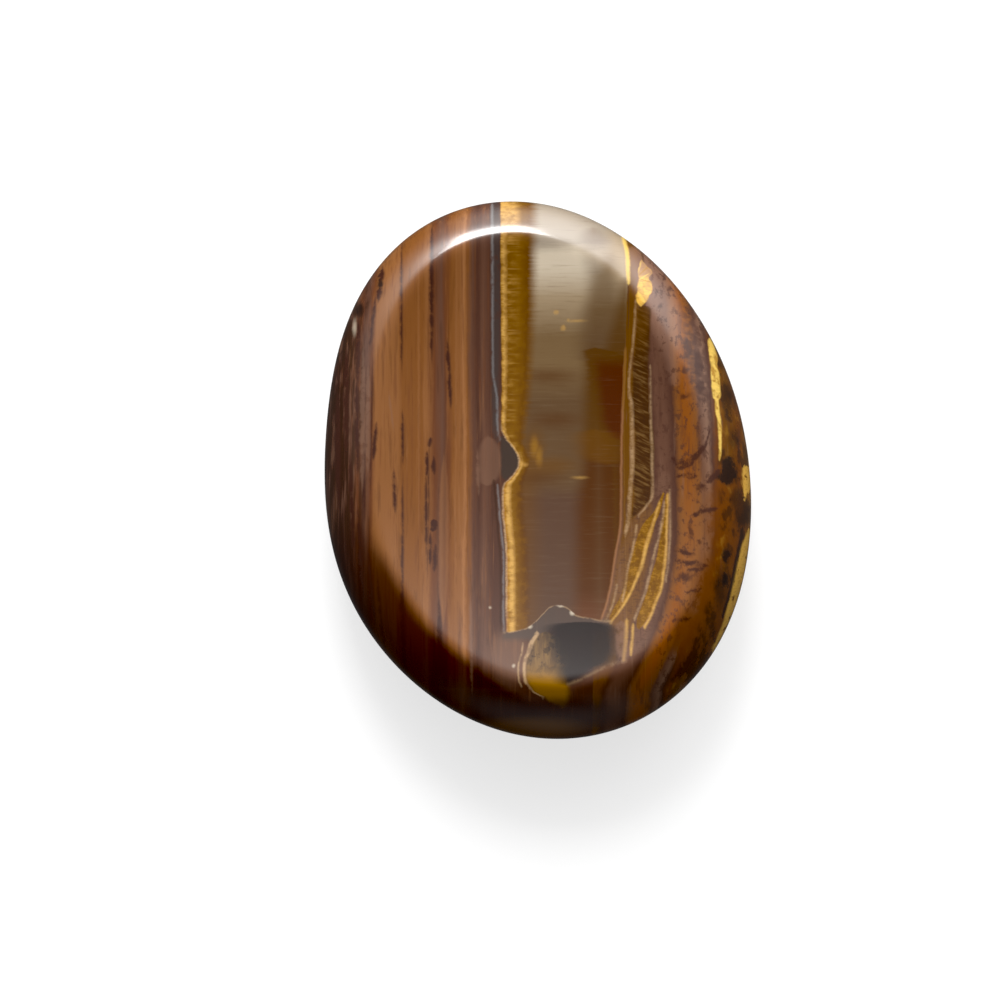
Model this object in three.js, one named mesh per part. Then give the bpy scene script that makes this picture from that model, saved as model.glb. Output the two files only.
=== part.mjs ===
// A polished tiger iron worry stone: one egg-shaped pebble with a shallow rubbing hollow
// ground into its face. Millimetres, +Z up. The origin is the middle of the small flat spot
// that the stone rests on, and +Y runs along the stone to its narrower end.

import * as THREE from 'three';
import { ParametricGeometry } from 'three/addons/geometries/ParametricGeometry.js';
import { mergeVertices } from 'three/addons/utils/BufferGeometryUtils.js';

// Outline, seen from above
const LENGTH = 63.8;
const WIDTH = 48.5;
const EGG = 0.32; // how far the narrow end stands out and the wide end is drawn in
const CORNER = 0.28; // how far the four corners are drawn in
const SKEW = 0.24; // how far one pair of corners is fuller than the other

// Section, from the flat spot up to the rim
const THICKNESS = 13; // at the rim, before the hollow's edge was polished round
const EDGE_HEIGHT = 6.6; // where the stone is widest
const SHOULDER_REACH = 8.5; // how far in the upper shoulder would level out
const RIM_WIDTH = 5.6; // from the outline in to the hollow's edge, at the sides
const RIM_LEAN = 0.6; // how much wider the rim is at the narrow end, and slimmer at the wide end
const HOLLOW_DEPTH = 2.9;
const RIM_ROUNDING = 0.6; // height over which the shoulder and the hollow are blended
const BELLY_POWER = 2.3; // 2 is an ellipse, and more is a flatter back
const FLAT_SHARE = 0.3; // the flat spot's share of the outline's radius

// Faces: rings for each stretch of the section, and steps around the outline
const STEPS_AROUND = 84;
const HOLLOW_RINGS = 8;
const SHOULDER_RINGS = 13;
const BELLY_RINGS = 10;
const FLAT_RINGS = 1;

const HOLLOW_END = HOLLOW_RINGS;
const SHOULDER_END = HOLLOW_END + SHOULDER_RINGS;
const BELLY_END = SHOULDER_END + BELLY_RINGS;
const RINGS = BELLY_END + FLAT_RINGS;

const BLEND_MARGIN = 1.5; // the shoulder's rings run this far in past the hollow's edge

// The egg-shaped outline, as a radius for each direction
function outlineRadius( angle ) {

	const mean = ( LENGTH + WIDTH ) / 4;
	const stretch = ( LENGTH - WIDTH ) / 4;
	return mean - stretch * Math.cos( 2 * angle )
		- EGG * Math.sin( 3 * angle )
		+ CORNER * ( Math.cos( 4 * angle ) - 1 )
		+ SKEW * Math.sin( 4 * angle );

}

// The rim's width in each direction
function rimWidth( angle ) {

	return RIM_WIDTH + RIM_LEAN * Math.sin( angle );

}

// The height of an elliptical shoulder whose top is at distance reach from its edge
function ellipseHeight( inward, reach, height ) {

	const across = 1 - Math.min( inward / reach, 1 );
	return height * Math.sqrt( 1 - across * across );

}

// The lower of two heights, rounded off where they cross
function roundedMinimum( a, b, rounding ) {

	const near = Math.max( rounding - Math.abs( a - b ), 0 ) / rounding;
	return Math.min( a, b ) - near ** 3 * rounding / 6;

}

// The face: a convex shoulder all round, with the hollow cut down into it
function faceHeight( radius, edge, rim ) {

	const shoulderHeight = ( THICKNESS - EDGE_HEIGHT ) / ellipseHeight( rim, SHOULDER_REACH, 1 );
	const shoulder = EDGE_HEIGHT + ellipseHeight( edge - radius, SHOULDER_REACH, shoulderHeight );
	const share = radius / ( edge - rim );
	const hollow = THICKNESS - HOLLOW_DEPTH * ( 1 - share * share );
	return roundedMinimum( shoulder, hollow, RIM_ROUNDING );

}

// The back: a shallow dome, worn flat in the middle
function backHeight( share ) {

	const depth = ( s ) => ( 1 - s ** BELLY_POWER ) ** ( 1 / BELLY_POWER );
	return share > FLAT_SHARE ? EDGE_HEIGHT * ( 1 - depth( share ) / depth( FLAT_SHARE ) ) : 0;

}

// One point of the skin. around and along run from 0 to 1: along starts in the middle of the
// hollow, climbs over the rim, goes round the edge and ends in the middle of the flat spot.
function skinPoint( around, along, point ) {

	const angle = - around * 2 * Math.PI; // this way round, the faces point out
	const edge = outlineRadius( angle );
	const rim = rimWidth( angle );
	const shoulderSpan = Math.acos( 1 - ( rim + BLEND_MARGIN ) / SHOULDER_REACH );
	const ring = Math.round( along * RINGS );
	let radius;
	let height;

	if ( ring <= HOLLOW_END ) {

		radius = ( edge - rim - BLEND_MARGIN ) * ring / HOLLOW_RINGS;
		height = faceHeight( radius, edge, rim );

	} else if ( ring <= SHOULDER_END ) {

		const turn = shoulderSpan * ( 1 - ( ring - HOLLOW_END ) / SHOULDER_RINGS );
		radius = edge - SHOULDER_REACH * ( 1 - Math.cos( turn ) );
		height = faceHeight( radius, edge, rim );

	} else if ( ring <= BELLY_END ) {

		const turn = Math.acos( FLAT_SHARE ) * ( ring - SHOULDER_END ) / BELLY_RINGS;
		const share = Math.cos( turn );
		radius = edge * share;
		height = backHeight( share );

	} else {

		radius = edge * FLAT_SHARE * ( 1 - ( ring - BELLY_END ) / FLAT_RINGS );
		height = 0;

	}

	point.set( radius * Math.cos( angle ), radius * Math.sin( angle ), height );

}

function stoneGeometry() {

	const skin = new ParametricGeometry( skinPoint, STEPS_AROUND, RINGS );
	skin.deleteAttribute( 'normal' );
	skin.deleteAttribute( 'uv' );
	const closed = mergeVertices( skin );
	closed.computeVertexNormals();
	return closed;

}

// Brown jasper is the colour that most of the stone has
const polishedStone = new THREE.MeshStandardMaterial( {
	name: 'polished_tiger_iron',
	color: new THREE.Color().setRGB( 0.42, 0.25, 0.14, THREE.SRGBColorSpace ),
	roughness: 0.12,
	metalness: 0,
} );

const stone = new THREE.Mesh( stoneGeometry(), polishedStone );
stone.name = 'stone';

const worryStone = new THREE.Group();
worryStone.add( stone );

export default worryStone;
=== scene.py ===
import math

import bpy
from mathutils import Matrix, Vector


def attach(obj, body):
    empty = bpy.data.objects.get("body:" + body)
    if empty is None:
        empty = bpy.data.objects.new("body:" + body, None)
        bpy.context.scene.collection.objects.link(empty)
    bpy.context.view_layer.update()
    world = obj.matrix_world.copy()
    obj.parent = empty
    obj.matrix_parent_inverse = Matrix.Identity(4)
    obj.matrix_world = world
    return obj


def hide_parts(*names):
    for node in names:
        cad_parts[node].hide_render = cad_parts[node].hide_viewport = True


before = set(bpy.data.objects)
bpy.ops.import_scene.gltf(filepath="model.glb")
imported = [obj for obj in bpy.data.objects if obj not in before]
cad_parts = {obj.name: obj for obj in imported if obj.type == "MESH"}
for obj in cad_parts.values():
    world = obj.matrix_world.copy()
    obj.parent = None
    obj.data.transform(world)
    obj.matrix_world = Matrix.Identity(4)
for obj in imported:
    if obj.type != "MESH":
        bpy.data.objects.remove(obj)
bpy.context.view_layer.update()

# A polished tiger iron worry stone: an egg-shaped pebble with a hollow ground into its face.
# Metres, +Z up, +Y along the stone to its narrower end.

mm = 0.001
print("frame loaded:", sorted(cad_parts))


# Where the picture is taken from
viewSettings = {
    "azimuth": -9.25,  # degrees, 0 looks along +Y
    "elevation": 75.0,
    "distance": 350 * mm,
    "seenWidth": 113.1 * mm,  # how much the picture takes in, at the stone
    "sensor": 36.0,
    "aimHeight": 6.6 * mm,  # the stone's widest level
    "aimAside": 4.51 * mm,  # the picture's middle, left of the stone's and below it
    "aimBelow": 3.23 * mm,
    "nearest": 10 * mm,
    "farthest": 10000 * mm,
}


def viewAxes():
    # right, up and back, as the picture shows the stone
    azimuth = math.radians(viewSettings["azimuth"])
    elevation = math.radians(viewSettings["elevation"])
    level = math.cos(elevation)
    back = Vector((math.sin(azimuth) * level, -math.cos(azimuth) * level, math.sin(elevation)))
    right = Vector((0, 0, 1)).cross(back).normalized()
    return right, back.cross(right), back


viewRight, viewUp, viewBack = viewAxes()
stoneMiddle = Vector((0, 0, viewSettings["aimHeight"]))


def makeCamera():
    settings = viewSettings
    target = stoneMiddle - viewRight * settings["aimAside"] - viewUp * settings["aimBelow"]
    camera = bpy.data.cameras.new("camera")
    camera.sensor_width = settings["sensor"]
    camera.lens = settings["sensor"] * settings["distance"] / settings["seenWidth"]
    camera.clip_start = settings["nearest"]
    camera.clip_end = settings["farthest"]
    cameraObject = bpy.data.objects.new("camera", camera)
    bpy.context.scene.collection.objects.link(cameraObject)
    turn = Matrix((viewRight, viewUp, viewBack)).transposed().to_4x4()
    cameraObject.matrix_world = Matrix.Translation(target + viewBack * settings["distance"]) @ turn
    bpy.context.scene.camera = cameraObject


makeCamera()
print("camera placed")


# Nodes are written as plain sums: a Wire is a number or a colour that runs through a node tree
class Wire:
    def __init__(self, socket):
        self.socket = socket
        self.tree = socket.id_data

    def __add__(self, other):
        return calc("ADD", self, other)

    def __sub__(self, other):
        return calc("SUBTRACT", self, other)

    def __mul__(self, other):
        return calc("MULTIPLY", self, other)

    def __truediv__(self, other):
        return calc("DIVIDE", self, other)

    def __pow__(self, other):
        return calc("POWER", self, other)

    def __rsub__(self, other):
        return calc("SUBTRACT", other, self)

    def __rtruediv__(self, other):
        return calc("DIVIDE", other, self)

    __radd__ = __add__
    __rmul__ = __mul__


def plug(value, socket):
    # puts a number or a Wire into a node's input
    if isinstance(value, Wire):
        value.tree.links.new(value.socket, socket)
    else:
        socket.default_value = value


def setInputs(node, values):
    # values are for the inputs, by their names or in their order
    for name, value in values.items() if isinstance(values, dict) else enumerate(values):
        plug(value, node.inputs[name])


def addNode(tree, kind, values):
    node = tree.nodes.new(kind)
    setInputs(node, values)
    return node


def treeOf(values):
    return next(value.tree for value in values if isinstance(value, Wire))


def calc(operation, *values):
    node = addNode(treeOf(values), "ShaderNodeMath", values)
    node.operation = operation
    return Wire(node.outputs[0])


def lesser(a, b):
    return calc("MINIMUM", a, b)


def greater(a, b):
    return calc("MAXIMUM", a, b)


def magnitude(a):
    return calc("ABSOLUTE", a)


def splitVector(vector):
    return [Wire(output) for output in addNode(vector.tree, "ShaderNodeSeparateXYZ", [vector]).outputs]


def joinVector(*levels):
    return Wire(addNode(treeOf(levels), "ShaderNodeCombineXYZ", levels).outputs[0])


# The stone's shape: the outline and the section follow the frame's solid, a hair inside it
shapeSettings = {
    "Length": 63.8 * mm,
    "Width": 48.5 * mm,
    "Egg": 0.32 * mm,  # how far the narrow end stands out
    "Corner": 0.28 * mm,  # how far the four corners are drawn in
    "Skew": 0.24 * mm,  # how far one pair of corners is fuller
    "Thickness": 13.0 * mm,
    "Edge Height": 6.6 * mm,
    "Shoulder Reach": 8.5 * mm,
    "Rim Width": 5.6 * mm,
    "Rim Lean": 0.6 * mm,  # how much wider the rim is at the narrow end
    "Hollow Depth": 2.9 * mm,
    "Rim Rounding": 0.6 * mm,
    "Belly Power": 2.3,
    "Flat Share": 0.3,
    "Skin Inset": 0.05 * mm,
    "Waviness": 0.035 * mm,  # what hand polishing leaves
    "Wave Length": 14.0 * mm,
}
meshSettings = {
    "stepsAround": 360,
    "hollowRings": 72,
    "shoulderRings": 64,
    "bellyRings": 60,
    "flatRings": 10,
    "blendMargin": 1.5 * mm,
    "mergeDistance": 0.004 * mm,
}


def choose(test, whenTrue, whenFalse):
    # test is 0 or 1
    return test * whenTrue + (1 - test) * whenFalse


def outlineRadius(angle, size):
    mean = (size["Length"] + size["Width"]) * 0.25
    stretch = (size["Length"] - size["Width"]) * 0.25
    return (
        mean
        - stretch * calc("COSINE", angle * 2)
        - size["Egg"] * calc("SINE", angle * 3)
        + size["Corner"] * (calc("COSINE", angle * 4) - 1)
        + size["Skew"] * calc("SINE", angle * 4)
        - size["Skin Inset"]
    )


def ellipseHeight(inward, reach, height):
    across = 1 - lesser(inward / reach, 1)
    return height * calc("SQRT", 1 - across * across)


def faceHeight(radius, edge, rim, size):
    # a convex shoulder all round, with the hollow cut down into it
    rise = size["Thickness"] - size["Edge Height"]
    shoulderHeight = rise / ellipseHeight(rim, size["Shoulder Reach"], 1)
    shoulder = size["Edge Height"] + ellipseHeight(edge - radius, size["Shoulder Reach"], shoulderHeight)
    share = radius / (edge - rim)
    hollow = size["Thickness"] - size["Hollow Depth"] * (1 - share * share)
    return calc("SMOOTH_MIN", shoulder, hollow, size["Rim Rounding"])


def backHeight(share, size):
    # a shallow dome, worn flat in the middle
    def depth(place):
        return (1 - place ** size["Belly Power"]) ** (1 / size["Belly Power"])

    dome = size["Edge Height"] * (1 - depth(lesser(share, 1)) / depth(size["Flat Share"]))
    return dome * calc("GREATER_THAN", share, size["Flat Share"])


def stoneTree():
    tree = bpy.data.node_groups.new("worry stone", "GeometryNodeTree")
    tree.interface.new_socket("Geometry", in_out="INPUT", socket_type="NodeSocketGeometry")
    tree.interface.new_socket("Geometry", in_out="OUTPUT", socket_type="NodeSocketGeometry")
    for name in shapeSettings:
        tree.interface.new_socket(name, in_out="INPUT", socket_type="NodeSocketFloat")
    tree.interface.new_socket("Material", in_out="INPUT", socket_type="NodeSocketMaterial")
    given = tree.nodes.new("NodeGroupInput")
    result = tree.nodes.new("NodeGroupOutput")
    size = {name: Wire(given.outputs[name]) for name in shapeSettings}

    mesh = meshSettings
    hollowEnd = mesh["hollowRings"]
    shoulderEnd = hollowEnd + mesh["shoulderRings"]
    bellyEnd = shoulderEnd + mesh["bellyRings"]
    rings = bellyEnd + mesh["flatRings"]

    gridSize = {"Size X": 1, "Size Y": 1, "Vertices X": mesh["stepsAround"] + 1, "Vertices Y": rings + 1}
    grid = addNode(tree, "GeometryNodeMeshGrid", gridSize)
    place = tree.nodes.new("GeometryNodeInputPosition")
    gridX, gridY, gridZ = splitVector(Wire(place.outputs[0]))
    angle = (gridX + 0.5) * (2 * math.pi)
    ring = calc("ROUND", (gridY + 0.5) * rings)
    edge = outlineRadius(angle, size)
    rim = size["Rim Width"] + size["Rim Lean"] * calc("SINE", angle)

    # The rings start in the middle of the hollow and climb over the rim
    margin = mesh["blendMargin"]
    hollowRadius = (edge - rim - margin) * (ring / mesh["hollowRings"])
    span = calc("ARCCOSINE", 1 - (rim + margin) / size["Shoulder Reach"])
    turn = span * (1 - (ring - hollowEnd) / mesh["shoulderRings"])
    shoulderRadius = edge - size["Shoulder Reach"] * (1 - calc("COSINE", turn))
    # then they go round the edge and end in the middle of the flat spot
    bellyTurn = calc("ARCCOSINE", size["Flat Share"]) * ((ring - shoulderEnd) / mesh["bellyRings"])
    bellyShare = calc("COSINE", bellyTurn)
    flatShare = size["Flat Share"] * (1 - (ring - bellyEnd) / mesh["flatRings"])

    onShoulder = calc("GREATER_THAN", ring, hollowEnd + 0.5)
    onBack = calc("GREATER_THAN", ring, shoulderEnd + 0.5)
    onFlat = calc("GREATER_THAN", ring, bellyEnd + 0.5)
    faceRadius = choose(onShoulder, shoulderRadius, hollowRadius)
    backShare = choose(onFlat, flatShare, bellyShare)
    radius = choose(onBack, edge * backShare, faceRadius)
    height = choose(onBack, backHeight(backShare, size), faceHeight(faceRadius, edge, rim, size))

    # Hand polishing leaves the skin faintly wavy, down to the flat spot and never above the solid
    across = radius * calc("COSINE", angle)
    along = radius * calc("SINE", angle)
    spot = joinVector(*[level / size["Wave Length"] for level in (across, along, height)])
    waves = addNode(tree, "ShaderNodeTexNoise", {"Vector": spot, "Scale": 1, "Detail": 1})
    wave = (Wire(waves.outputs[0]) - 1) * size["Waviness"]
    height = height + wave * lesser(height / size["Edge Height"], 1)

    moved = addNode(tree, "GeometryNodeSetPosition", {"Position": joinVector(across, along, height)})
    merged = addNode(tree, "GeometryNodeMergeByDistance", {"Distance": mesh["mergeDistance"]})
    smooth = tree.nodes.new("GeometryNodeSetShadeSmooth")
    real = tree.nodes.new("GeometryNodeRealizeInstances")
    painted = addNode(tree, "GeometryNodeSetMaterial", {"Material": Wire(given.outputs["Material"])})
    chain = [grid, moved, merged, smooth, real, painted, result]
    for before, after in zip(chain, chain[1:]):
        tree.links.new(before.outputs[0], after.inputs[0])
    return tree


def makeStone(material):
    tree = stoneTree()
    stone = bpy.data.objects.new("worry_stone", bpy.data.meshes.new("worry_stone"))
    bpy.context.scene.collection.objects.link(stone)
    modifier = stone.modifiers.new("shape", "NODES")
    modifier.node_group = tree
    for socket in tree.interface.items_tree:
        if socket.in_out == "INPUT" and socket.name in shapeSettings:
            modifier[socket.identifier] = shapeSettings[socket.name]
        if socket.name == "Material":
            modifier[socket.identifier] = material
    evaluated = stone.evaluated_get(bpy.context.evaluated_depsgraph_get())
    stone.data = bpy.data.meshes.new_from_object(evaluated)
    stone.modifiers.clear()
    return stone


# The stone's minerals, in the sRGB levels that they have in the middle of the hollow
minerals = {
    "ironBlack": (30, 20, 18),
    "ironDark": (46, 32, 26),
    "darkBrown": (52, 29, 12),
    "needle": (66, 36, 26),
    # the stone's red-brown in shade, for painted shade
    "shadedRed": (50, 15, 3),
    "redBrown": (104, 60, 34),
    "jasper": (138, 89, 49),
    "jasperWarm": (127, 78, 36),
    "jasperPale": (154, 103, 62),
    "jasperOrange": (138, 78, 24),
    "mauve": (101, 68, 52),
    "mauveDark": (80, 50, 38),
    "mauvePale": (128, 94, 74),
    "pink": (150, 112, 92),
    "hematite": (70, 58, 54),
    "bumpGrey": (66, 52, 44),
    "footGrey": (82, 68, 60),
    "paleBlue": (142, 140, 140),
    "whiteSeam": (188, 154, 114),
    "peachSeam": (160, 110, 72),
    "yellow": (240, 200, 96),
    "goldPale": (210, 162, 84),
    "gold": (170, 120, 36),
    "goldDark": (126, 84, 6),
    "goldBrown": (106, 66, 6),
    "oliveGold": (160, 112, 6),
    "cream": (218, 202, 178),
    "silkGrey": (158, 144, 126),
    "silkPale": (166, 144, 114),
    "silkOlive": (120, 95, 64),
    "silkDark": (98, 73, 48),
    "silkPurple": (88, 62, 46),
    "goldSilk": (88, 54, 6),
    "redSilk": (80, 34, 2),
    "brownSilk": (82, 44, 6),
    "orangeBrown": (112, 60, 6),
    "spindleBrown": (68, 38, 10),
    "hatchGold": (150, 114, 64),
    "edgeYellow": (240, 186, 78),
}
lightInHollow = 1.33  # how bright white would look there
drawnReach = 34  # mm, how far a drawn line may run either way


def shade(mineral):
    # a mineral's levels, as the linear colour that a node holds
    def linear(level):
        level = level / 255
        return level / 12.92 if level <= 0.04045 else ((level + 0.055) / 1.055) ** 2.4

    return (*[linear(level) / lightInHollow for level in minerals[mineral]], 1)


def over(below, amount, above):
    # one more mineral, or another coloured Wire, over what is there
    node = addNode(amount.tree, "ShaderNodeMix", [amount])
    node.data_type = "RGBA"
    for colour, socket in zip((below, above), node.inputs[6:]):
        plug(colour if isinstance(colour, Wire) else shade(colour), socket)
    return Wire(node.outputs[2])


def bands(run, stops):
    # colours that follow each other along run: stops are (place, mineral)
    start, end = stops[0][0], stops[-1][0]
    node = run.tree.nodes.new("ShaderNodeValToRGB")
    ramp = node.color_ramp
    while len(ramp.elements) < len(stops):
        ramp.elements.new(1)
    for element, (place, mineral) in zip(ramp.elements, stops):
        element.position = (place - start) / (end - start)
        element.color = shade(mineral)
    plug((run - start) / (end - start), node.inputs[0])
    return Wire(node.outputs[0])


def cover(depth, soft):
    # 0 outside and 1 inside, over an edge that is soft mm wide
    node = addNode(depth.tree, "ShaderNodeMapRange", [depth, -soft / 2, soft / 2])
    node.interpolation_type = "SMOOTHSTEP"
    return Wire(node.outputs[0])


def between(value, low, high):
    # 0 at low and 1 at high, with an easy start and end
    return cover(value - (low + high) / 2, high - low) if high > low else 1 - between(value, high, low)


def window(value, low, high, soft):
    return cover(lesser(value - low, high - value), soft)


def drawn(run, points):
    # a smooth line drawn through given points, which are (place along run, value), all in mm
    node = run.tree.nodes.new("ShaderNodeFloatCurve")
    node.mapping.extend = "HORIZONTAL"
    node.mapping.use_clip = False
    curve = node.mapping.curves[0]
    while len(curve.points) < len(points):
        curve.points.new(0.5, 0.5)
    for point, (place, value) in zip(curve.points, sorted(points)):
        point.location = ((place + drawnReach) / (2 * drawnReach), value)
        point.handle_type = "AUTO_CLAMPED"
    node.mapping.update()
    plug(grouped(runShare, run), node.inputs["Value"])
    return Wire(node.outputs[0])


def runShare(run):
    return (run + drawnReach) / (2 * drawnReach)


builtGroups = {}


def grouped(build, *values):
    # the nodes that build makes, kept in one group that is used again and again
    if build not in builtGroups:
        group = bpy.data.node_groups.new(build.__name__, "ShaderNodeTree")
        for number in range(len(values)):
            group.interface.new_socket(f"value {number}", in_out="INPUT", socket_type="NodeSocketFloat")
        group.interface.new_socket("result", in_out="OUTPUT", socket_type="NodeSocketFloat")
        given = group.nodes.new("NodeGroupInput")
        result = group.nodes.new("NodeGroupOutput")
        plug(build(*[Wire(given.outputs[number]) for number in range(len(values))]), result.inputs[0])
        builtGroups[build] = group
    node = treeOf(values).nodes.new("ShaderNodeGroup")
    node.node_tree = builtGroups[build]
    setInputs(node, values)
    return Wire(node.outputs[0])


def squared(value):
    # far quicker to render than a power
    return value * value


outside = -9.0  # mm, for a place that is inside no shape yet
closingRun = 0.4  # mm, how far past its last points a drawn shape closes
closedMargin = 0.2  # mm, how much narrower than nothing it is there


# Each of these is how far inside a shape a place is, in mm, or inside the shapes found before it
def bandDepth(found, side, middle, width):
    return greater(found, width / 2 - magnitude(side - middle))


def strokeDepth(found, run, side, middleRun, middleSide, slope, length, width):
    share = (run - middleRun) / (length / 2)
    off = side - middleSide - (run - middleRun) * slope
    return greater(found, (1 - squared(squared(share))) * width / 2 - magnitude(off))


def spotDepth(found, x, y, middleX, middleY, radiusX, radiusY):
    apart = calc("SQRT", squared((x - middleX) / radiusX) + squared((y - middleY) / radiusY))
    return greater(found, (1 - apart) * lesser(radiusX, radiusY))


def curves(run, side, shapes, soft):
    # bands drawn one by one: each shape lists (place along it, its middle, its width)
    found = outside
    for shape in shapes:
        past = math.copysign(closingRun, shape[-1][0] - shape[0][0])
        gone = -soft - closedMargin
        closed = [(shape[0][0] - past, 0, gone), *shape, (shape[-1][0] + past, 0, gone)]
        middles = drawn(run, [(place, middle) for place, middle, width in shape])
        widths = drawn(run, [(place, width) for place, middle, width in closed])
        found = grouped(bandDepth, found, side, middles, widths)
    return cover(found, soft)


def strokes(run, side, listed, soft, swell=1):
    # straight strokes that taper at both ends: the place and the side of both ends, and a width
    found = outside
    for startRun, startSide, endRun, endSide, width in listed:
        slope = (endSide - startSide) / (endRun - startRun)
        middle = (startRun + endRun) / 2, (startSide + endSide) / 2
        length = abs(endRun - startRun)
        found = grouped(strokeDepth, found, run, side, *middle, slope, length, swell * width)
    return cover(found, soft)


def spots(x, y, listed, soft):
    # oval spots: the middle and the radii of each, across and along
    found = outside
    for spot in listed:
        found = grouped(spotDepth, found, x, y, *spot)
    return cover(found, soft)


def noise(place, scales, detail=2.0, roughness=0.5, shift=0.0):
    # place is (across, along, depth) in mm, and scales are waves per mm
    spread = joinVector(*[level * scale + shift for level, scale in zip(place, scales)])
    look = {"Vector": spread, "Scale": 1, "Detail": detail, "Roughness": roughness}
    return Wire(addNode(spread.tree, "ShaderNodeTexNoise", look).outputs[0])


class Painting:
    # one part of the pattern: minerals laid over each other, in shapes that its settings give
    def __init__(self, settings, across, along, lowest):
        self.settings = settings
        self.across = across
        self.along = along
        self.colour = lowest

    def lay(self, amount, mineral):
        self.colour = over(self.colour, amount, mineral)

    def curves(self, name, soft):
        return curves(self.along, self.across, self.settings[name], soft)

    def strokes(self, name, soft, swell=1):
        return strokes(self.along, self.across, self.settings[name], soft, swell)

    def spots(self, name, soft):
        return spots(self.across, self.along, self.settings[name], soft)


# Places in the pattern are in mm, across and along from the middle of the stone as the picture shows it.
# The brown side, from the left edge to the golden block
jasperSide = {
    "bands": [
        (-25.5, "needle"), (-23.2, "mauveDark"), (-22.4, "needle"), (-21.4, "mauveDark"), (-20.6, "mauve"),
        (-20.0, "redBrown"), (-19.4, "mauveDark"), (-19.0, "mauve"), (-18.5, "redBrown"), (-18.0, "jasper"),
        (-15.7, "jasper"), (-15.2, "jasperWarm"), (-12.9, "jasperWarm"), (-12.3, "jasper"),
        (-11.6, "redBrown"), (-10.7, "mauve"), (-10.1, "redBrown"), (-9.5, "jasperWarm"), (-8.4, "jasper"),
        (-8.1, "jasperPale"), (-7.8, "jasperWarm"), (-7.3, "mauve"), (-6.6, "mauveDark"), (-6.0, "mauve"),
        (-5.1, "mauveDark"),
    ],
    # strokes: along and across of both ends, and a width
    "needles": [
        (26.3, -15.4, 12.1, -15.2, 0.26), (6.7, -15.1, 1.2, -15, 0.26), (-1.2, -15, -20, -14.9, 0.26),
        (-11, -15, -27, -14.6, 0.5), (0.2, -16, -4.4, -15.8, 0.36), (28.6, -11.9, 13, -11.85, 0.42),
        (15, -10.1, 7.4, -9.65, 0.42), (4, -11.9, 2.8, -12.1, 0.34), (2.4, -12.3, -0.4, -12.3, 0.42),
        (1.8, -11.6, -0.2, -11.5, 0.38), (-0.4, -12.4, -9, -12.3, 0.3), (3, -12.1, -11, -12.2, 0.14),
        (-5.2, -11.5, -6.6, -11.6, 0.8), (-6.7, -11.9, -10.4, -11.9, 0.36), (-8, -11.3, -11, -11.4, 0.42),
        (-14, -10.9, -27, -10.5, 0.55), (5.6, -18, 1.4, -18.3, 0.42), (12, -18.5, -1, -18.6, 0.2),
        (23.8, -17.6, 19.4, -18, 0.7), (20, -18.3, 14, -18.9, 0.42), (17.8, -20.2, 10, -20.2, 0.55),
        (10.6, -20.3, 0, -20.1, 0.45), (14, -21.6, 2, -21.4, 0.6), (9, -22.6, -4, -22.2, 0.6),
        (2, -21, -9, -20.4, 0.5), (-4, -20, -13, -19.4, 0.42), (-9, -18.8, -17, -18, 0.4),
        (-11, -17.8, -20, -17, 0.3), (3, -19.4, -5, -19.2, 0.26),
    ],
    "faint": [(13, -10.35, -14, -10.3, 0.3), (12, -7.1, -12, -7, 0.3), (-15, -8.6, -26, -8.4, 0.4)],
    "pale": [
        (12, -19, 0, -18.9, 0.5), (8.8, -16.6, 5, -16.1, 0.14), (2.5, -6.7, -2.4, -6.5, 0.3),
        (-14, -7.4, -24, -7.2, 0.3), (14, -19.6, -2, -19.5, 0.5),
    ],
    "orange": [
        (30, -9.1, -14, -9.1, 0.16), (30, -8.1, -14, -8.05, 0.34), (24, -13.4, -6, -13.2, 0.2),
        (2, -10.4, -17, -10.4, 1),
    ],
    # painted highlight: the glint of a small chip near the left edge, as a cream spot
    "chipGlint": [(-20.7, 16.6, 0.22, 0.8)],
    "blotch": [(-20.2, 18.6, 0.45, 0.9), (-17.8, 21.6, 0.3, 0.5)],
    # iron has settled where the jasper meets the gold: (along, across, width)
    "seam": [[(31, -4.6, 1), (19, -4.55, 1), (9, -4.65, 0.8), (4.8, -4.6, 0.6), (3.6, -4.3, 0.3)]],
    "seamLine": [
        [(31, -5, 0.22), (19, -4.95, 0.18), (12, -4.9, 0.12), (8.5, -4.45, 0.16), (4.6, -4.35, 0.16),
         (3.8, -4.1, 0.12)],
        [(-1.5, -4.4, 0.1), (-6.4, -4, 0.12), (-10.8, -3.72, 0.12), (-13.2, -3.75, 0.12),
         (-17.5, -3.7, 0.1)],
    ],
    "seamShadow": [[(-1, -4.8, 0.3), (-6.4, -4.35, 0.25), (-10.8, -4.05, 0.25), (-17.5, -4, 0.25)]],
    # left of this line the lower end is darkened with painted shade: (along, across)
    "shadedEnd": [
        (-2, -21), (-6, -19.4), (-10, -16.9), (-15.6, -13.8), (-18.6, -10.9), (-22, -6.4), (-26, 0),
    ],
    "dome": [[
        (4, -5.5, 0.4), (3.4, -5.35, 1.6), (2.2, -5.25, 2.5), (1.2, -5.2, 2.7), (0.2, -5.25, 2.4),
        (-1.2, -5.6, 1.2),
    ]],
    "bump": [[
        (4, -3.9, 0.3), (3.3, -3.5, 1.1), (2.4, -3.1, 1.9), (1.3, -2.8, 2.4), (0.4, -3.1, 1.8),
        (-0.6, -3.5, 0.6),
    ]],
}


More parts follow.
